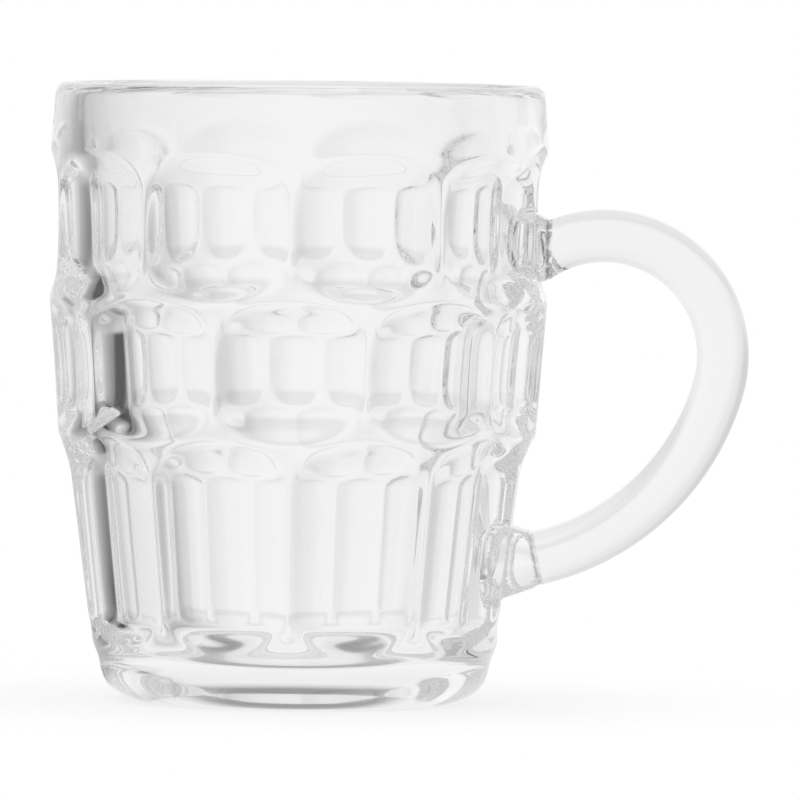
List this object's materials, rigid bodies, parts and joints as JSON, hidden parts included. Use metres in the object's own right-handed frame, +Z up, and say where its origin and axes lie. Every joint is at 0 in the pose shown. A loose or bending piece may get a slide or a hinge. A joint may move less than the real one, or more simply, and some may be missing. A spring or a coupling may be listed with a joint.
{
  "type": "dimpled glass beer mug",
  "caption": "Clear pressed glass beer mug with three rows of dimples, a tapered foot and a stuck-on loop handle.",
  "frame": {"origin": "on the bowl's axis, in the plane of the table that the foot stands on", "axes": "+Z up along the bowl's axis, +X towards the handle"},
  "size_m": [0.1418, 0.101, 0.125],
  "materials": {
    "body_glass": "clear fire-polished pressed glass",
    "handle_glass": "clear fire-polished pressed glass"
  },
  "bodies": {
    "root": {"mug_body": "body_glass", "handle": "handle_glass"}
  },
  "joints": []
}
